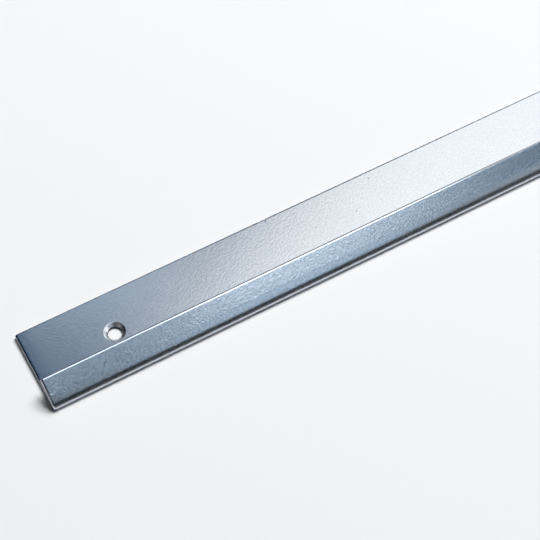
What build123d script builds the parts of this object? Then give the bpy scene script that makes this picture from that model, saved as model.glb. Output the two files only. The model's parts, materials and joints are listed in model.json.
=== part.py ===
"""Aluminium edge profile: a drilled base strip whose front edge folds back into a sloping lip.

The section lies in the YZ plane and runs along X. The base rests on Z = 0, the rounded nose
faces -Y and the lip opens towards +Y. The origin is under the middle of the piece.
"""

import os
from math import radians, sin

from build123d import *

# Stock, in millimetres
length = 1000.0
base_width = 34.0
base_wall = 2.0
edge_radius = 0.7
end_break = 0.35

# Nose and lip, with the nose's turn and the lip's slope in degrees
nose_radius = 1.2
nose_turn = 121.0
shoulder_radius = 10.0
lip_wall = 2.0
lip_face_length = 6.59
lip_edge_radius = 0.7
lip_slope = 30.0
root_radius = 0.4

# Screw holes, countersunk from the top of the base
hole_count = 4
hole_diameter = 5.2
countersink_diameter = 8.0
countersink_angle = 100.0
hole_end_distance = 32.0
hole_back_distance = 16.5

# Places worked out from the sizes above
back_edge = base_width / 2
nose_centre_y = nose_radius - base_width / 2
hole_y = back_edge - hole_back_distance
hole_pitch = (length - 2 * hole_end_distance) / (hole_count - 1)


def section():
    """Closed outline of the extruded section: base, nose, shoulder, lip and slot."""
    shoulder_turn = 180 - lip_slope - nose_turn
    with BuildSketch(Plane.YZ) as profile:
        with BuildLine():
            underside = Line((back_edge, 0), (nose_centre_y, 0))
            nose = JernArc(underside @ 1, underside % 1, nose_radius, -nose_turn)
            shoulder = JernArc(nose @ 1, nose % 1, shoulder_radius, -shoulder_turn)
            lip_face = PolarLine(shoulder @ 1, lip_face_length, direction=shoulder % 1)
            lip_end = PolarLine(lip_face @ 1, lip_wall, lip_slope - 90)
            slot_depth = ((lip_end @ 1).Y - base_wall) / sin(radians(lip_slope))
            slot_face = PolarLine(lip_end @ 1, slot_depth, lip_slope - 180)
            base_face = Line(slot_face @ 1, (back_edge, base_wall))
            Line(base_face @ 1, underside @ 0)
        make_face()
        corners = profile.vertices()
        lip_corners = [corners.sort_by_distance(line @ 1)[0] for line in (lip_face, lip_end)]
        fillet(lip_corners, lip_edge_radius)
        fillet(profile.vertices().sort_by_distance(slot_face @ 1)[0], root_radius)
        fillet(profile.vertices().group_by(Axis.X)[-1], edge_radius)
    return profile.sketch


def screw_holes():
    """One countersunk clearance hole at each place along the base."""
    hole = CounterSinkHole(
        hole_diameter / 2,
        countersink_diameter / 2,
        depth=base_wall,
        counter_sink_angle=countersink_angle,
    )
    return Pos(0, hole_y, base_wall) * GridLocations(hole_pitch, 0, hole_count, 1) * hole


def edge_profile():
    """The section run to length, its sawn ends deburred and its screw holes drilled."""
    stock = extrude(section(), amount=length / 2, both=True)
    sawn_ends = stock.faces().filter_by(Axis.X)
    return chamfer(sawn_ends.edges(), end_break) - screw_holes()


os.makedirs("parts", exist_ok=True)
export_step(edge_profile(), "parts/edge_profile.step")
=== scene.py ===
"""Looks of a drilled aluminium edge profile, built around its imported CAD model.

The strip is swept anew with fine rounds, countersunk holes, broken ends and small nicks. It lies
on a pale floor in soft studio light. Lengths are in metres, in the frame of the CAD model.
"""

import json
import math

import bmesh
import bpy
from bpy.props import FloatProperty, FloatVectorProperty, PointerProperty
from mathutils import Euler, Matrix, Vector, noise


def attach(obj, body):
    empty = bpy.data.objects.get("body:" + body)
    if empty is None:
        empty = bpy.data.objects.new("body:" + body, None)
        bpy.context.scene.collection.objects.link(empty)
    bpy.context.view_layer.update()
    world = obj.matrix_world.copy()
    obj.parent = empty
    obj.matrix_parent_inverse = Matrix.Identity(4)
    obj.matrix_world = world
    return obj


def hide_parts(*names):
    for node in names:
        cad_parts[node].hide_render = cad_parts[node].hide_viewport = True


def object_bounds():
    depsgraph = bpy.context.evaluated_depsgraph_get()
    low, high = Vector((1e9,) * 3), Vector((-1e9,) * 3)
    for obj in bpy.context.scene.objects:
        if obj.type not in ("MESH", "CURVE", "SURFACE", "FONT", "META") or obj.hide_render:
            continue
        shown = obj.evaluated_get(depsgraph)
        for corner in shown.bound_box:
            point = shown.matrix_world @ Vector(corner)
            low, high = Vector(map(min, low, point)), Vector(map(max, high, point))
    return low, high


bl_info = {
    "name": "Aluminium edge profile",
    "version": (1, 0, 0),
    "blender": (4, 5, 0),
    "location": "View3D > Sidebar > Profile",
    "description": "Builds a drilled aluminium edge profile and the studio it lies in",
    "category": "Add Mesh",
}

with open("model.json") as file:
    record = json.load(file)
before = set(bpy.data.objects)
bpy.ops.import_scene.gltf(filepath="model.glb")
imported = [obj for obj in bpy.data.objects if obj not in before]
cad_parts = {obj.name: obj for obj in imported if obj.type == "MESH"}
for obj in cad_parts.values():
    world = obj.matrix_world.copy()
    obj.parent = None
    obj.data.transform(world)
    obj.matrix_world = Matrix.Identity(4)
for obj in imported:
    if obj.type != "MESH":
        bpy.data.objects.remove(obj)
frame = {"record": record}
cad_box = [list(corner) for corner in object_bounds()]

MM = 0.001

# Mesh fineness: the widest gap between lines, and how near a line follows the edge of a round
WIDEST_GAP = 6 * MM
FACE_GAP = 2.2 * MM
ROUND_GUARD = 0.08 * MM

# Facets round each bend of the section, and rings round each sawn end
NOSE_FACETS = 26
SHOULDER_FACETS = 16
UPPER_LIP_FACETS = 14
LOWER_LIP_FACETS = 10
ROOT_FACETS = 8
EDGE_FACETS = 10
END_RINGS = 10

# The rounding of a sawn end wanders by this share, about once in each 1.1 mm
SAW_WANDER = 0.2
SAW_WANDERS_PER_METRE = 900

# A square of lines is left open round each screw hole, one line for each facet of a quarter of it
HOLE_SQUARE = 6 * MM
HOLE_FACETS = 16

# Break of the sharp edges in each screw hole
HOLE_BREAK = 0.05 * MM

# How much of the ripple each run of the section shows, and how much the runs not named show
RIPPLE_SHARE = {"nose": 0.1, "shoulder": 1.6, "lip": 0.85, "tip": 0.1, "base": 1.0}
OTHER_RIPPLE_SHARE = 0.25

# Runs with this share of the ripple or more have the full roughness of the faces
DULL_RIPPLE_SHARE = 0.5

# The grain's contrast rises from the base to the lip between these heights
GRAIN_RISE = (2.2 * MM, 4 * MM)
GRAIN_CONTRAST = (0.28, 0.7)

# Material slots of the strip
SATIN, SAWN, DRILLED, BORED = range(4)

# Knocks on the edges: where, how wide, how deep, and which way the metal was pushed
NICKS = [
    ((-430.4 * MM, 17.0 * MM, 1.9 * MM), 0.7 * MM, 0.20 * MM, (0, -0.8, -0.6)),
    ((-399.5 * MM, 17.0 * MM, 1.9 * MM), 0.7 * MM, 0.30 * MM, (0, -0.8, -0.6)),
    ((-398.5 * MM, 17.0 * MM, 1.9 * MM), 0.5 * MM, 0.14 * MM, (0, -0.8, -0.6)),
    ((-397.5 * MM, 17.0 * MM, 1.9 * MM), 0.8 * MM, 0.32 * MM, (0, -0.8, -0.6)),
    ((-396.5 * MM, 17.0 * MM, 1.9 * MM), 0.5 * MM, 0.16 * MM, (0, -0.8, -0.6)),
    ((-499.8 * MM, -12.7 * MM, 5.6 * MM), 0.8 * MM, 0.30 * MM, (0.8, 0.3, -0.52)),
    ((-499.8 * MM, -13.8 * MM, 5.0 * MM), 0.6 * MM, 0.22 * MM, (0.8, 0.3, -0.52)),
]

# Scratches and pits in the faces: from, to, and half the width of the groove
SCRATCHES = [
    ((-476.8 * MM, -11.0 * MM, 6.6 * MM), (-480.2 * MM, -14.6 * MM, 4.4 * MM), 0.24 * MM),
    ((-462.0 * MM, 1.6 * MM, 2.0 * MM), (-455.5 * MM, 4.1 * MM, 2.0 * MM), 0.16 * MM),
    ((-486.6 * MM, -12.4 * MM, 5.8 * MM), (-486.3 * MM, -12.3 * MM, 5.9 * MM), 0.35 * MM),
    ((-494.2 * MM, -13.7 * MM, 5.1 * MM), (-493.9 * MM, -13.6 * MM, 5.1 * MM), 0.35 * MM),
    ((-499.3 * MM, -12.7 * MM, 5.6 * MM), (-498.2 * MM, -13.0 * MM, 5.5 * MM), 0.30 * MM),
    ((-499.6 * MM, -13.4 * MM, 5.2 * MM), (-498.9 * MM, -13.6 * MM, 5.1 * MM), 0.35 * MM),
    ((-489.5 * MM, 0.5 * MM, 2.0 * MM), (-489.2 * MM, 0.6 * MM, 2.0 * MM), 0.22 * MM),
    ((-444.1 * MM, 5.0 * MM, 2.0 * MM), (-443.8 * MM, 5.1 * MM, 2.0 * MM), 0.22 * MM),
    ((-382.5 * MM, 4.1 * MM, 2.0 * MM), (-382.2 * MM, 4.2 * MM, 2.0 * MM), 0.22 * MM),
    ((-365.3 * MM, 2.8 * MM, 2.0 * MM), (-365.0 * MM, 2.9 * MM, 2.0 * MM), 0.22 * MM),
    ((-353.4 * MM, 13.6 * MM, 2.0 * MM), (-353.1 * MM, 13.7 * MM, 2.0 * MM), 0.22 * MM),
]

# Cards that only the metal mirrors: name, place, sides, tilt and turn in degrees, power and colour.
# The first five stand above the strip, two light the cones, one the far end and two the nose
REFLECTOR_CARDS = [
    ("bank_card", (0.98, 1.08, 2), (2.01, 1.00), 0, 32, 10.1, "#FFF9ED"),
    ("rear_card", (-0.11, 1.44, 2), (0.43, 0.50), 0, -29, 0.64, "#EDFBFF"),
    ("ridge_card", (-0.05, 0.10, 2), (1.10, 0.90), 0, 0, 9.0, "#FFFFFF"),
    ("front_card", (0.27, -0.66, 2), (0.60, 0.91), 0, 10, 6.1, "#F5FEFF"),
    ("side_card", (-0.26, -0.68, 2), (0.92, 0.53), 0, 48, 1.9, "#F2FFFE"),
    ("low_card", (1.5, 0.6, 0.17), (3.0, 0.30), 90, 90, 13.0, "#FFFFFF"),
    ("cone_card", (1.34, -1.05, 0.68), (1.25, 0.70), 72, 60, 17.0, "#FFFFFF"),
    ("end_card", (-2.0, -0.6, 0.85), (1.5, 1.0), 90, -90, 1.6, "#FFFFFF"),
    ("wide_card", (0.18, -1.72, 1.325), (2.04, 1.37), 42, 0, 2.0, "#FEFFEE"),
    ("middle_card", (0.20, -1.68, 1.285), (0.53, 1.37), 42, 0, 1.26, "#DAEEFF"),
]

# Main light: where it hangs, its sides and what it faces
KEY_PLACE = (1.23, 1.06, 2.88)
KEY_SIDES = (1.92, 1.92)
KEY_AIM = (-0.4, 0, 0)

# The sky rises out of the horizon between these heights, and fades out towards the cut end
SKY_RISE = (0.28, 0.5)
SKY_FADE = (-0.45, 0.0)

FLOOR_HALF = 6
SENSOR_WIDTH = 36


def linear(hex_colour):
    """Linear red, green and blue of an sRGB hex colour such as #C8D0D8."""
    channels = [int(hex_colour[place:place + 2], 16) / 255 for place in (1, 3, 5)]
    return [c / 12.92 if c <= 0.04045 else ((c + 0.055) / 1.055) ** 2.4 for c in channels]


class EdgeProfileSizes(bpy.types.PropertyGroup):
    """Sizes of the section and its screw holes."""

    base_wall: FloatProperty(
        name="Base wall", description="Thickness of the flat base", default=2 * MM, unit="LENGTH"
    )
    nose_radius: FloatProperty(
        name="Nose radius", description="Radius of the rounded front", default=1.2 * MM, unit="LENGTH"
    )
    nose_turn: FloatProperty(
        name="Nose turn",
        description="Angle that the nose turns through from the underside",
        default=math.radians(121),
        unit="ROTATION",
    )
    shoulder_radius: FloatProperty(
        name="Shoulder radius",
        description="Radius of the bend between nose and lip",
        default=10 * MM,
        unit="LENGTH",
    )
    lip_wall: FloatProperty(
        name="Lip wall", description="Thickness of the sloping lip", default=2 * MM, unit="LENGTH"
    )
    lip_face: FloatProperty(
        name="Lip face",
        description="Length of the lip's face from the shoulder to its edge",
        default=6.59 * MM,
        unit="LENGTH",
    )
    lip_edge: FloatProperty(
        name="Lip edge", description="Radius of the lip's two corners", default=0.7 * MM, unit="LENGTH"
    )
    lip_slope: FloatProperty(
        name="Lip slope",
        description="Angle of the lip above the base",
        default=math.radians(30),
        unit="ROTATION",
    )
    root_radius: FloatProperty(
        name="Root radius",
        description="Radius at the bottom of the slot",
        default=0.4 * MM,
        unit="LENGTH",
    )
    edge_radius: FloatProperty(
        name="Edge radius", description="Radius of the back corners", default=0.7 * MM, unit="LENGTH"
    )
    end_break: FloatProperty(
        name="End break",
        description="Depth of the rounding round each sawn end",
        default=0.55 * MM,
        unit="LENGTH",
    )
    end_run: FloatProperty(
        name="End run",
        description="Length of the rounding round each sawn end",
        default=0.95 * MM,
        unit="LENGTH",
    )
    rim_radius: FloatProperty(
        name="Countersink radius",
        description="Radius of each countersink at the face",
        default=4 * MM,
        unit="LENGTH",
    )
    cone_angle: FloatProperty(
        name="Countersink angle",
        description="Angle across each countersink",
        default=math.radians(100),
        unit="ROTATION",
    )


class EdgeProfileFinish(bpy.types.PropertyGroup):
    """Colours and surface of the metal."""

    metal: FloatVectorProperty(
        name="Metal",
        description="Colour of the extruded faces",
        default=linear("#CBD1DA"),
        subtype="COLOR",
    )
    metal_cloud: FloatVectorProperty(
        name="Metal cloud",
        description="Colour of the faintly duller clouds in the extruded faces",
        default=linear("#C4CBD4"),
        subtype="COLOR",
    )
    cut_metal: FloatVectorProperty(
        name="Cut metal",
        description="Colour of the bare metal at the sawn ends and in the countersinks",
        default=linear("#D6D9DC"),
        subtype="COLOR",
    )
    # Painted shade: the bore walls get this dark colour in place of the shade inside the screw holes
    painted_bore_shade: FloatVectorProperty(
        name="Bore metal",
        description="Colour of the torn metal in the screw holes",
        default=linear("#3C3F43"),
        subtype="COLOR",
    )
    roughness: FloatProperty(
        name="Roughness", description="Roughness of the extruded faces", default=0.2, subtype="FACTOR"
    )
    bend_roughness: FloatProperty(
        name="Bend roughness", description="Roughness of the tight bends", default=0.13, subtype="FACTOR"
    )
    cloud_size: FloatProperty(
        name="Cloud size", description="Width of one dull cloud", default=14 * MM, unit="LENGTH"
    )
    grain_size: FloatProperty(
        name="Grain size", description="Width of one etched grain", default=0.7 * MM, unit="LENGTH"
    )
    grain_depth: FloatProperty(
        name="Grain depth",
        description="Depth of the etched grain",
        default=0.008 * MM,
        unit="LENGTH",
    )
    die_line_gap: FloatProperty(
        name="Die line gap",
        description="Gap between the lines that the die leaves",
        default=0.3 * MM,
        unit="LENGTH",
    )
    die_line_depth: FloatProperty(
        name="Die line depth",
        description="Depth of the lines that the die leaves",
        default=0.0006 * MM,
        unit="LENGTH",
    )
    groove_depth: FloatProperty(
        name="Groove depth",
        description="Depth of the scratches and pits",
        default=0.05 * MM,
        unit="LENGTH",
    )
    # Painted shade: the metal's colour is darkened by this share in the scratches and pits
    groove_shade: FloatProperty(
        name="Groove shade",
        description="Share of the metal's brightness left in a scratch",
        default=0.45,
        subtype="FACTOR",
    )
    peel_size: FloatProperty(
        name="Ripple size",
        description="Width of one ripple in the metal's face",
        default=0.95 * MM,
        unit="LENGTH",
    )
    peel_depth: FloatProperty(
        name="Ripple depth",
        description="Depth of the ripples in the metal's face",
        default=0.016 * MM,
        unit="LENGTH",
    )


class EdgeProfileStage(bpy.types.PropertyGroup):
    """Floor, light and camera."""

    floor: FloatVectorProperty(
        name="Floor", description="Colour of the floor", default=linear("#F4F5F6"), subtype="COLOR"
    )
    sky: FloatVectorProperty(
        name="Sky", description="Cool light from above", default=linear("#264B6C"), subtype="COLOR"
    )
    fill: FloatVectorProperty(
        name="Fill", description="Weak light in the shadows", default=linear("#38393B"), subtype="COLOR"
    )
    horizon: FloatVectorProperty(
        name="Horizon",
        description="Dim light from the sides",
        default=linear("#0B0C0E"),
        subtype="COLOR",
    )
    key_colour: FloatVectorProperty(
        name="Key colour",
        description="Colour of the main light at the right",
        default=linear("#FFFFFF"),
        subtype="COLOR",
    )
    key_power: FloatProperty(
        name="Key power", description="Power of the main light at the right", default=152, unit="POWER"
    )
    camera_place: FloatVectorProperty(
        name="Camera place",
        description="Where the camera stands",
        default=(-0.54239, -0.24635, 0.45),
        subtype="TRANSLATION",
    )
    camera_aim: FloatVectorProperty(
        name="Camera aim",
        description="Point on the floor in the middle of the picture",
        default=(-0.40598, -0.00296, 0),
        subtype="TRANSLATION",
    )
    lens: FloatProperty(
        name="Lens", description="Focal length on a 36 mm wide sensor", default=95.27, unit="CAMERA"
    )


def screw_holes():
    """Centre and bore of each screw hole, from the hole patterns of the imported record."""
    holes = []
    for mount in frame["record"]["mounts"]:
        if mount["kind"] == "bolt_pattern":
            half = mount["dims"]["spacing_x_mm"] * MM / 2
            bore = mount["dims"]["hole_r_mm"] * MM
            x, y = mount["pos_m"][:2]
            holes += [(x - half, y, bore), (x + half, y, bore)]
    return sorted(holes)


def fill(stops, gap):
    """Numbers from the first stop to the last, with every stop kept and no gap wider than this."""
    filled = [stops[0]]
    for low, high in zip(stops, stops[1:]):
        parts = max(1, math.ceil(abs(high - low) / gap))
        filled += [low + (high - low) * part / parts for part in range(1, parts + 1)]
    return filled


def hole_lines(centre):
    """Lines of the square round a hole, spaced so that they meet the hole at equal angles."""
    steps = [(2 * step / HOLE_FACETS - 1) * math.pi / 4 for step in range(HOLE_FACETS + 1)]
    return [centre + HOLE_SQUARE * math.tan(angle) for angle in steps]


def across(low, high, hole_y):
    """Places across a flat face, with the lines of the square round the holes among them."""
    lines = hole_lines(hole_y)
    front = fill([low, low + ROUND_GUARD, lines[0]], FACE_GAP)
    rear = fill([lines[-1], high - ROUND_GUARD, high], FACE_GAP)
    return front + lines[1:-1] + rear


def arc(centre, radius, start, end, facets):
    """Points on an arc of the section, both ends included. Angles run from +Y towards +Z."""
    angles = [start + (end - start) * step / facets for step in range(facets + 1)]
    return [(centre[0] + radius * math.cos(a), centre[1] + radius * math.sin(a)) for a in angles]


def straight(start, end):
    """Points on a straight run of the section, both ends included."""
    length = math.dist(start, end)
    shares = [s / length for s in fill([0, ROUND_GUARD, length - ROUND_GUARD, length], FACE_GAP)]
    return [(start[0] + (end[0] - start[0]) * s, start[1] + (end[1] - start[1]) * s) for s in shares]


def moved(place, along, distance):
    """A place in the section, moved this far in the direction of an angle from +Y towards +Z."""
    return (place[0] + distance * math.cos(along), place[1] + distance * math.sin(along))


def section(sizes, hole_y):
    """Closed outline of the section as (y, z, face), where face names the run that starts there."""
    front = cad_box[0][1]
    back = cad_box[1][1]
    top = sizes.base_wall
    edge = sizes.edge_radius
    root = sizes.root_radius
    corner = sizes.lip_edge
    quarter = math.pi / 2
    slope = sizes.lip_slope
    outward = slope + quarter
    meeting = -quarter - sizes.nose_turn
    nose_centre = (front + sizes.nose_radius, sizes.nose_radius)
    turned = outward - 2 * math.pi
    shoulder_centre = moved(nose_centre, meeting, sizes.nose_radius - sizes.shoulder_radius)
    shoulder = arc(shoulder_centre, sizes.shoulder_radius, meeting, turned, SHOULDER_FACETS)
    lip_end = moved(shoulder[-1], slope, sizes.lip_face - corner)
    upper_corner = arc(moved(lip_end, outward, -corner), corner, outward, slope, UPPER_LIP_FACETS)
    lower_centre = moved(lip_end, outward, corner - sizes.lip_wall)
    lower_corner = arc(lower_centre, corner, slope, slope - quarter, LOWER_LIP_FACETS)
    slot_depth = (lower_corner[-1][1] - top) / math.sin(slope)
    slot_end = moved(lower_corner[-1], slope, -slot_depth)
    root_centre = (slot_end[0] + root / math.tan(slope / 2), top + root)
    root_arc = arc(root_centre, root, outward, 3 * quarter, ROOT_FACETS)
    runs = [
        ("underside", [(y, 0) for y in reversed(across(nose_centre[0], back - edge, hole_y))]),
        ("nose", arc(nose_centre, sizes.nose_radius, -quarter, meeting, NOSE_FACETS)),
        ("shoulder", shoulder),
        ("lip", straight(shoulder[-1], lip_end)),
        ("tip", upper_corner),
        ("tip", straight(upper_corner[-1], lower_corner[0])),
        ("tip", lower_corner),
        ("slot", straight(lower_corner[-1], root_arc[0])),
        ("slot", root_arc),
        ("base", [(y, top) for y in across(root_arc[-1][0], back - edge, hole_y)]),
        ("back", arc((back - edge, top - edge), edge, quarter, 0, EDGE_FACETS)),
        ("back", straight((back, top - edge), (back, edge))),
        ("back", arc((back - edge, edge), edge, 0, -quarter, EDGE_FACETS)),
    ]
    return [(y, z, face) for face, points in runs for y, z in points[:-1]]


def inward(outline):
    """Unit vector into the metal at each point of the outline."""
    vectors = []
    for place in range(len(outline)):
        before = outline[place - 1]
        after = outline[(place + 1) % len(outline)]
        run = Vector((after[0] - before[0], after[1] - before[1])).normalized()
        vectors.append(Vector((run.y, -run.x)))
    return vectors


def along(sizes, holes):
    """Places along the strip between its two rounded ends, finer at the holes and the knocks."""
    first = cad_box[0][0] + sizes.end_run
    last = cad_box[1][0] - sizes.end_run
    windows = [hole_lines(hole[0]) for hole in holes]
    for place, width, _, _ in NICKS:
        low = max(first, place[0] - width)
        windows.append(fill([low, place[0] + width], width / 5))
    places = [first]
    for window in sorted(windows):
        ahead = [x for x in window if x > places[-1] + ROUND_GUARD]
        places += fill([places[-1], *ahead[:1]], WIDEST_GAP)[1:] + ahead[1:]
    return places + fill([places[-1], last], WIDEST_GAP)[1:]


def dented(place):
    """A point of the surface after the knocks on the edges."""
    for centre, width, depth, push in NICKS:
        reach = (place - Vector(centre)).length / width
        if reach < 1:
            place = place + Vector(push) * depth * (1 - reach**2) ** 2
    return place


def end_rings(sizes, end, step_in):
    """Places and insets of the rings that round off one sawn end, from the end face inwards."""
    rings = []
    for step in range(END_RINGS):
        angle = step / END_RINGS * math.pi / 2
        shift = step_in * sizes.end_run * (1 - math.cos(angle))
        rings.append((end + shift, sizes.end_break * (1 - math.sin(angle))))
    return rings


def hole_rings(sizes, bore):
    """Radius, height and material of the rings down a countersunk hole, from face to underside."""
    top = sizes.base_wall
    rim = sizes.rim_radius
    soft = HOLE_BREAK
    seat = top - (rim - bore) / math.tan(sizes.cone_angle / 2)
    cone = [(bore + (rim - bore) * share, seat + (top - seat) * share) for share in (0.75, 0.5, 0.25)]
    rings = [(rim + 3 * soft, top, SATIN), (rim + soft, top, SATIN)]
    rings += [(rim, top - soft / 3, DRILLED), (rim - soft, top - soft, DRILLED)]
    rings += [(radius, height, DRILLED) for radius, height in cone]
    # From the seat down, the bore wall takes the bore material, whose dark colour is painted shade
    rings += [(bore + soft, seat + soft, DRILLED), (bore, seat - soft, BORED)]
    rings += [(bore, 2 * soft, BORED), (bore, soft, BORED), (bore + soft, 0, BORED)]
    rings += [(bore + 3 * soft, 0, SATIN)]
    return rings


def joined(mesh, outer, inner, slot):
    """A band of faces between two rings of the same number of points."""
    for place in range(len(outer)):
        corners = (outer[place - 1], outer[place], inner[place], inner[place - 1])
        face = mesh.faces.new(corners)
        face.material_index = slot


def square_loop(grid, columns, rows, centre):
    """Points of the square left open round a hole, in the order of their angle about its centre."""
    edge = [(c, r) for c in columns for r in (rows[0], rows[-1])]
    edge += [(c, r) for c in (columns[0], columns[-1]) for r in rows[1:-1]]
    loop = [grid[c][r] for c, r in edge]
    return sorted(loop, key=lambda p: math.atan2(p.co.y - centre[1], p.co.x - centre[0]))


def drilled(mesh, ripple, upper, lower, hole, sizes):
    """The countersunk hole between the open squares in the base's two faces."""
    x, y, bore = hole
    rays = [(point.co.xy - Vector((x, y))) for point in upper]
    rings = hole_rings(sizes, bore)
    midway = [(rings[0][0] + ray.length) / 2 for ray in rays]
    levels = [(midway, sizes.base_wall, SATIN)]
    levels += [([radius] * len(rays), height, slot) for radius, height, slot in rings]
    before = upper
    for reaches, height, slot in levels:
        loop = []
        for ray, reach in zip(rays, reaches):
            spot = ray.normalized() * reach
            point = mesh.verts.new((x + spot.x, y + spot.y, height))
            point[ripple] = RIPPLE_SHARE["base"]
            loop.append(point)
        joined(mesh, before, loop, slot)
        before = loop
    joined(mesh, before, lower, SATIN)


def strip_mesh(sizes):
    """The whole strip as one closed mesh, with its four finishes as material slots."""
    holes = screw_holes()
    hole_y = holes[0][1]
    outline = section(sizes, hole_y)
    vectors = inward(outline)
    places = along(sizes, holes)
    near = end_rings(sizes, cad_box[0][0], 1)
    far = end_rings(sizes, cad_box[1][0], -1)
    stations = near + [(x, 0) for x in places] + far[::-1]
    mesh = bmesh.new()
    ripple = mesh.verts.layers.float.new("ripple")
    grid = []
    for x, inset in stations:
        ring = []
        for (y, z, face), vector in zip(outline, vectors):
            saw = 1 + SAW_WANDER * noise.noise(Vector((x, y, z)) * SAW_WANDERS_PER_METRE)
            spot = Vector((x, y + vector.x * inset * saw, z + vector.y * inset * saw))
            point = mesh.verts.new(dented(spot))
            point[ripple] = RIPPLE_SHARE.get(face, OTHER_RIPPLE_SHARE)
            ring.append(point)
        grid.append(ring)
    lines = hole_lines(hole_y)
    low = lines[0] - ROUND_GUARD / 2
    high = lines[-1] + ROUND_GUARD / 2
    opened = {"base": [], "underside": []}
    for row, (y, _, face) in enumerate(outline):
        if face in opened and low < y < high:
            opened[face].append(row)
    open_cells = set()
    for hole in holes:
        reach = HOLE_SQUARE + ROUND_GUARD / 2
        columns = [c for c, (x, _) in enumerate(stations) if abs(x - hole[0]) < reach]
        for rows in opened.values():
            open_cells |= {(c, r) for c in columns[:-1] for r in rows[:-1]}
        upper = square_loop(grid, columns, opened["base"], hole)
        lower = square_loop(grid, columns, opened["underside"], hole)
        drilled(mesh, ripple, upper, lower, hole, sizes)
    for column in range(len(grid) - 1):
        for row in range(len(outline)):
            if (column, row) not in open_cells:
                after = (row + 1) % len(outline)
                here = grid[column]
                ahead = grid[column + 1]
                mesh.faces.new((here[row], here[after], ahead[after], ahead[row]))
    for face in mesh.faces:
        face.smooth = True
    for ring in (grid[0], grid[-1]):
        end = mesh.faces.new(ring)
        end.material_index = SAWN
    bmesh.ops.delete(mesh, geom=[p for p in mesh.verts if not p.link_faces], context="VERTS")
    bmesh.ops.recalc_face_normals(mesh, faces=mesh.faces)
    ragged = [edge for edge in mesh.edges if not edge.is_manifold]
    if ragged:
        raise RuntimeError(f"the strip's mesh has {len(ragged)} open edges")
    return mesh


def add_node(tree, kind, inputs, **settings):
    """Adds a node, sets its options, and fills its sockets from values or other nodes' outputs."""
    node = tree.nodes.new(kind)
    for name, value in settings.items():
        setattr(node, name, value)
    for socket, source in inputs.items():
        if isinstance(source, bpy.types.NodeSocket):
            tree.links.new(source, node.inputs[socket])
        else:
            node.inputs[socket].default_value = source
    return node


def new_material(name):
    """An empty node material, its tree and its principled shader."""
    material = bpy.data.materials.new(name)
    material.use_nodes = True
    tree = material.node_tree
    return material, tree, tree.nodes["Principled BSDF"]


def scratch_depth(tree, place):
    """One in the middle of each scratch or pit, and zero beside it."""
    deepest = 0.0
    for start, end, half_width in SCRATCHES:
        run = Vector(end) - Vector(start)
        offset = add_node(tree, "ShaderNodeVectorMath", {0: place, 1: start}, operation="SUBTRACT")
        share = add_node(
            tree,
            "ShaderNodeVectorMath",
            {0: offset.outputs[0], 1: run / run.length_squared},
            operation="DOT_PRODUCT",
        )
        held = add_node(tree, "ShaderNodeClamp", {"Value": share.outputs["Value"]})
        foot = add_node(
            tree,
            "ShaderNodeVectorMath",
            {0: run, "Scale": held.outputs[0]},
            operation="SCALE",
        )
        reach = add_node(
            tree,
            "ShaderNodeVectorMath",
            {0: offset.outputs[0], 1: foot.outputs[0]},
            operation="DISTANCE",
        )
        groove = add_node(
            tree,
            "ShaderNodeMapRange",
            {
                "Value": reach.outputs["Value"],
                "From Max": half_width,
                "To Min": 1.0,
                "To Max": 0.0,
            },
            interpolation_type="SMOOTHSTEP",
        )
        deeper = add_node(
            tree, "ShaderNodeMath", {0: deepest, 1: groove.outputs[0]}, operation="MAXIMUM"
        )
        deepest = deeper.outputs[0]
    return deepest


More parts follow.
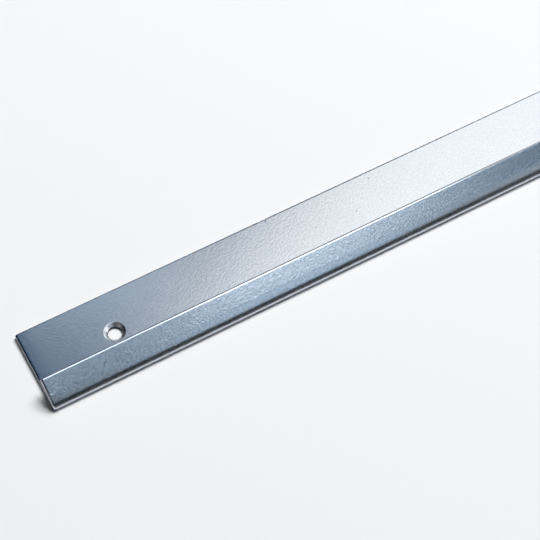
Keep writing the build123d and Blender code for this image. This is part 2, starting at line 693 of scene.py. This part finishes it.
def satin_aluminium(finish):
    """Extruded aluminium, etched and anodised: a soft, cool grey sheen with no clear reflection."""
    material, tree, shader = new_material("satin_anodised_aluminium")
    place = add_node(tree, "ShaderNodeTexCoord", {}).outputs["Object"]
    cloud = add_node(
        tree, "ShaderNodeTexNoise", {"Vector": place, "Scale": 1 / finish.cloud_size, "Detail": 3.0}
    )
    colour = add_node(
        tree,
        "ShaderNodeMix",
        {0: cloud.outputs[0], 6: (*finish.metal, 1), 7: (*finish.metal_cloud, 1)},
        data_type="RGBA",
    )
    # The etched grain is about 0.1 mm across and is drawn at 0.7 mm, so that it shows
    grain = add_node(
        tree, "ShaderNodeTexNoise", {"Vector": place, "Scale": 1 / finish.grain_size, "Detail": 2.0}
    )
    # The folded lip is stretched, so its grain stands out about twice as much as the base's
    level = add_node(tree, "ShaderNodeSeparateXYZ", {0: place}).outputs["Z"]
    contrast = add_node(
        tree,
        "ShaderNodeMapRange",
        {
            "Value": level,
            "From Min": GRAIN_RISE[0],
            "From Max": GRAIN_RISE[1],
            "To Min": GRAIN_CONTRAST[0],
            "To Max": GRAIN_CONTRAST[1],
        },
    )
    swing = add_node(tree, "ShaderNodeMath", {0: grain.outputs[0], 1: 0.5}, operation="SUBTRACT")
    fleck = add_node(
        tree,
        "ShaderNodeMath",
        {0: swing.outputs[0], 1: contrast.outputs[0], 2: 1.0},
        operation="MULTIPLY_ADD",
    )
    mottled = add_node(
        tree,
        "ShaderNodeVectorMath",
        {0: colour.outputs[2], "Scale": fleck.outputs[0]},
        operation="SCALE",
    )
    # Scratches and pits are real marks in the metal, and their darker colour is partly painted shade in
    # the grooves
    grooves = scratch_depth(tree, place)
    shaded = [channel * finish.groove_shade for channel in finish.metal]
    marks_and_groove_shade = add_node(
        tree,
        "ShaderNodeMix",
        {0: grooves, 6: mottled.outputs[0], 7: (*shaded, 1)},
        data_type="RGBA",
    )
    # The tight bends are burnished, so they mirror a little more sharply than the faces
    amount = add_node(tree, "ShaderNodeAttribute", {}, attribute_name="ripple")
    dull = add_node(
        tree,
        "ShaderNodeMapRange",
        {
            "Value": amount.outputs["Fac"],
            "From Min": RIPPLE_SHARE["nose"],
            "From Max": DULL_RIPPLE_SHARE,
            "To Min": finish.bend_roughness,
            "To Max": finish.roughness,
        },
    )
    # Lines that the die leaves run along the strip and are hardly deep
    drawn = add_node(tree, "ShaderNodeMapping", {"Vector": place, "Scale": (0.004, 1, 1)})
    die_lines = add_node(
        tree, "ShaderNodeTexNoise", {"Vector": drawn.outputs[0], "Scale": 1 / finish.die_line_gap}
    )
    lined = add_node(
        tree,
        "ShaderNodeBump",
        {"Height": die_lines.outputs[0], "Distance": finish.die_line_depth, "Strength": 1.0},
    )
    grained = add_node(
        tree,
        "ShaderNodeBump",
        {
            "Height": grain.outputs[0],
            "Distance": finish.grain_depth,
            "Strength": 1.0,
            "Normal": lined.outputs[0],
        },
    )
    ripple = add_node(
        tree, "ShaderNodeTexNoise", {"Vector": place, "Scale": 1 / finish.peel_size, "Detail": 1.0}
    )
    height = add_node(
        tree, "ShaderNodeMath", {0: ripple.outputs[0], 1: amount.outputs["Fac"]}, operation="MULTIPLY"
    )
    rippled = add_node(
        tree,
        "ShaderNodeBump",
        {
            "Height": height.outputs[0],
            "Distance": finish.peel_depth,
            "Strength": 1.0,
            "Normal": grained.outputs[0],
        },
    )
    scratched = add_node(
        tree,
        "ShaderNodeBump",
        {
            "Height": grooves,
            "Distance": finish.groove_depth,
            "Strength": 1.0,
            "Normal": rippled.outputs[0],
        },
        invert=True,
    )
    tree.links.new(marks_and_groove_shade.outputs[2], shader.inputs["Base Color"])
    tree.links.new(dull.outputs[0], shader.inputs["Roughness"])
    tree.links.new(scratched.outputs[0], shader.inputs["Normal"])
    shader.inputs["Metallic"].default_value = 1.0
    return material


def band_scale(gap):
    """Scale of a wave texture whose bands are this far apart."""
    return 2 * math.pi / (20 * gap)


def sawn_aluminium(finish):
    """Bare aluminium left by a saw: bright, with the blade's shallow curved lines across it."""
    material, tree, shader = new_material("sawn_aluminium")
    place = add_node(tree, "ShaderNodeTexCoord", {}).outputs["Object"]
    # The blade's lines are about 2.5 mm apart, round an axle well above the strip
    blade = add_node(tree, "ShaderNodeMapping", {"Vector": place, "Location": (0, 0.03, 0.15)})
    lines = add_node(
        tree,
        "ShaderNodeTexWave",
        {"Vector": blade.outputs[0], "Scale": 1 / (8 * MM), "Distortion": 1.5, "Detail": 2.0},
        wave_type="RINGS",
        rings_direction="X",
    )
    cut = add_node(
        tree, "ShaderNodeBump", {"Height": lines.outputs["Fac"], "Distance": 0.008 * MM, "Strength": 1.0}
    )
    dull = add_node(
        tree, "ShaderNodeMapRange", {"Value": lines.outputs["Fac"], "To Min": 0.3, "To Max": 0.45}
    )
    tree.links.new(cut.outputs[0], shader.inputs["Normal"])
    tree.links.new(dull.outputs[0], shader.inputs["Roughness"])
    shader.inputs["Base Color"].default_value = (*finish.cut_metal, 1)
    shader.inputs["Metallic"].default_value = 1.0
    return material


def drilled_aluminium(finish):
    """Bare aluminium turned by a countersink: glossy, with fine rings round the hole."""
    material, tree, shader = new_material("drilled_aluminium")
    place = add_node(tree, "ShaderNodeTexCoord", {}).outputs["Object"]
    # The tool's rings are about 0.05 mm apart and are drawn 0.2 mm apart in height, so that they show
    rings = add_node(
        tree,
        "ShaderNodeTexWave",
        {"Vector": place, "Scale": band_scale(0.2 * MM), "Distortion": 0.6, "Detail": 1.0},
        wave_type="BANDS",
        bands_direction="Z",
    )
    turned = add_node(
        tree, "ShaderNodeBump", {"Height": rings.outputs["Fac"], "Distance": 0.004 * MM, "Strength": 1.0}
    )
    dull = add_node(
        tree, "ShaderNodeMapRange", {"Value": rings.outputs["Fac"], "To Min": 0.30, "To Max": 0.42}
    )
    tree.links.new(turned.outputs[0], shader.inputs["Normal"])
    tree.links.new(dull.outputs[0], shader.inputs["Roughness"])
    shader.inputs["Base Color"].default_value = (*finish.cut_metal, 1)
    shader.inputs["Metallic"].default_value = 1.0
    return material


def bore_wall_painted_shade(finish):
    """Aluminium torn by a drill: the dull wall of a bore, coloured dark as painted shade."""
    material, tree, shader = new_material("bore_wall_painted_shade")
    place = add_node(tree, "ShaderNodeTexCoord", {}).outputs["Object"]
    # The drill's feed lines are about 0.1 mm apart and are drawn 0.3 mm apart, so that they show
    lines = add_node(
        tree,
        "ShaderNodeTexWave",
        {"Vector": place, "Scale": band_scale(0.3 * MM), "Distortion": 2.0, "Detail": 2.0},
        wave_type="BANDS",
        bands_direction="Z",
    )
    # The painted shade of the bore is darker still in the drill's feed lines
    feed_line_shade = [channel * 0.75 for channel in finish.painted_bore_shade]
    colour = add_node(
        tree,
        "ShaderNodeMix",
        {0: lines.outputs["Fac"], 6: (*feed_line_shade, 1), 7: (*finish.painted_bore_shade, 1)},
        data_type="RGBA",
    )
    torn = add_node(
        tree, "ShaderNodeBump", {"Height": lines.outputs["Fac"], "Distance": 0.006 * MM, "Strength": 1.0}
    )
    dull = add_node(
        tree, "ShaderNodeMapRange", {"Value": lines.outputs["Fac"], "To Min": 0.5, "To Max": 0.7}
    )
    tree.links.new(colour.outputs[2], shader.inputs["Base Color"])
    tree.links.new(dull.outputs[0], shader.inputs["Roughness"])
    tree.links.new(torn.outputs[0], shader.inputs["Normal"])
    shader.inputs["Metallic"].default_value = 1.0
    return material


def painted_floor(stage):
    """A smooth matt white painted board, without a sheen that would show the cards."""
    material, _, shader = new_material("white_painted_board")
    shader.inputs["Base Color"].default_value = (*stage.floor, 1)
    shader.inputs["Roughness"].default_value = 1.0
    shader.inputs["Specular IOR Level"].default_value = 0.0
    return material


def shown(name, data):
    """A new object with this data in the scene."""
    thing = bpy.data.objects.new(name, data)
    bpy.context.scene.collection.objects.link(thing)
    return thing


def facing(place, aim):
    """Turn of a lamp or camera at a place that faces a point with its top up."""
    return (Vector(aim) - Vector(place)).to_track_quat("-Z", "Y")


def soft_light(name, power, colour, sides, place, turn):
    """A rectangular soft light."""
    lamp = bpy.data.lights.new(name, "AREA")
    lamp.shape = "RECTANGLE"
    lamp.size, lamp.size_y = sides
    lamp.energy = power
    lamp.color = colour
    stand = shown(name, lamp)
    stand.location = place
    stand.rotation_mode = "QUATERNION"
    stand.rotation_quaternion = turn
    return stand


def studio_world(stage):
    """Dark round the horizon with a cool sky above it, and a weak fill for the shadows."""
    world = bpy.data.worlds.new("studio")
    world.use_nodes = True
    tree = world.node_tree
    direction = add_node(tree, "ShaderNodeTexCoord", {}).outputs["Generated"]
    parts = add_node(tree, "ShaderNodeSeparateXYZ", {0: direction})
    height = add_node(
        tree,
        "ShaderNodeMapRange",
        {"Value": parts.outputs["Z"], "From Min": SKY_RISE[0], "From Max": SKY_RISE[1]},
        interpolation_type="SMOOTHSTEP",
    )
    side = add_node(
        tree,
        "ShaderNodeMapRange",
        {"Value": parts.outputs["X"], "From Min": SKY_FADE[0], "From Max": SKY_FADE[1]},
        interpolation_type="SMOOTHSTEP",
    )
    open_sky = add_node(
        tree, "ShaderNodeMath", {0: height.outputs[0], 1: side.outputs[0]}, operation="MULTIPLY"
    )
    light = add_node(
        tree,
        "ShaderNodeMix",
        {0: open_sky.outputs[0], 6: (*stage.horizon, 1), 7: (*stage.sky, 1)},
        data_type="RGBA",
    )
    # The metal mirrors the sky, and the floor's shadows get a neutral fill instead of its blue
    ray = add_node(tree, "ShaderNodeLightPath", {})
    seen = add_node(
        tree,
        "ShaderNodeMix",
        {0: ray.outputs["Is Diffuse Ray"], 6: light.outputs[2], 7: (*stage.fill, 1)},
        data_type="RGBA",
    )
    tree.links.new(seen.outputs[2], tree.nodes["Background"].inputs["Color"])
    return world


class OBJECT_OT_edge_profile(bpy.types.Operator):
    """Build the drilled strip with its lip"""

    bl_idname = "object.edge_profile"
    bl_label = "Edge profile strip"

    def execute(self, context):
        finish = context.scene.edge_profile_finish
        data = bpy.data.meshes.new("edge_profile_strip")
        mesh = strip_mesh(context.scene.edge_profile_sizes)
        mesh.to_mesh(data)
        mesh.free()
        for make in (satin_aluminium, sawn_aluminium, drilled_aluminium, bore_wall_painted_shade):
            data.materials.append(make(finish))
        strip = shown("edge_profile_strip", data)
        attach(strip, "root")
        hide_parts("edge_profile")
        return {"FINISHED"}


class SCENE_OT_edge_profile_stage(bpy.types.Operator):
    """Build the floor, the light and the camera"""

    bl_idname = "scene.edge_profile_stage"
    bl_label = "Floor, light and camera"

    def execute(self, context):
        stage = context.scene.edge_profile_stage
        half = FLOOR_HALF
        board = bpy.data.meshes.new("floor")
        corners = [(-half, -half, 0), (half, -half, 0), (half, half, 0), (-half, half, 0)]
        board.from_pydata(corners, [], [(0, 1, 2, 3)])
        board.materials.append(painted_floor(stage))
        shown("floor", board)
        key = soft_light(
            "key_light",
            stage.key_power,
            stage.key_colour,
            KEY_SIDES,
            KEY_PLACE,
            facing(KEY_PLACE, KEY_AIM),
        )
        key.visible_glossy = False
        for name, place, sides, tilt, turn, power, colour in REFLECTOR_CARDS:
            stance = Euler((math.radians(tilt), 0, math.radians(turn))).to_quaternion()
            card = soft_light(name, power, linear(colour), sides, place, stance)
            card.visible_diffuse = False
        context.scene.world = studio_world(stage)
        context.scene.view_settings.view_transform = "Standard"
        lens = bpy.data.cameras.new("camera")
        lens.lens = stage.lens
        lens.sensor_width = SENSOR_WIDTH
        lens.clip_start = 0.01
        camera = shown("camera", lens)
        camera.location = stage.camera_place
        camera.rotation_mode = "QUATERNION"
        camera.rotation_quaternion = facing(stage.camera_place, stage.camera_aim)
        context.scene.camera = camera
        return {"FINISHED"}


class VIEW3D_PT_edge_profile(bpy.types.Panel):
    """Sizes, finish and stage of the edge profile"""

    bl_idname = "VIEW3D_PT_edge_profile"
    bl_label = "Edge profile"
    bl_space_type = "VIEW_3D"
    bl_region_type = "UI"
    bl_category = "Profile"

    def draw(self, context):
        scene = context.scene
        groups = (scene.edge_profile_sizes, scene.edge_profile_finish, scene.edge_profile_stage)
        for group in groups:
            box = self.layout.box()
            for name in group.__annotations__:
                box.prop(group, name)
        self.layout.operator(OBJECT_OT_edge_profile.bl_idname)
        self.layout.operator(SCENE_OT_edge_profile_stage.bl_idname)


CLASSES = (
    EdgeProfileSizes,
    EdgeProfileFinish,
    EdgeProfileStage,
    OBJECT_OT_edge_profile,
    SCENE_OT_edge_profile_stage,
    VIEW3D_PT_edge_profile,
)


def register():
    for made in CLASSES:
        bpy.utils.register_class(made)
    bpy.types.Scene.edge_profile_sizes = PointerProperty(type=EdgeProfileSizes)
    bpy.types.Scene.edge_profile_finish = PointerProperty(type=EdgeProfileFinish)
    bpy.types.Scene.edge_profile_stage = PointerProperty(type=EdgeProfileStage)


def unregister():
    del bpy.types.Scene.edge_profile_stage
    del bpy.types.Scene.edge_profile_finish
    del bpy.types.Scene.edge_profile_sizes
    for made in reversed(CLASSES):
        bpy.utils.unregister_class(made)


def main():
    register()
    bpy.ops.object.edge_profile()
    bpy.ops.scene.edge_profile_stage()


if __name__ == "__main__":
    main()
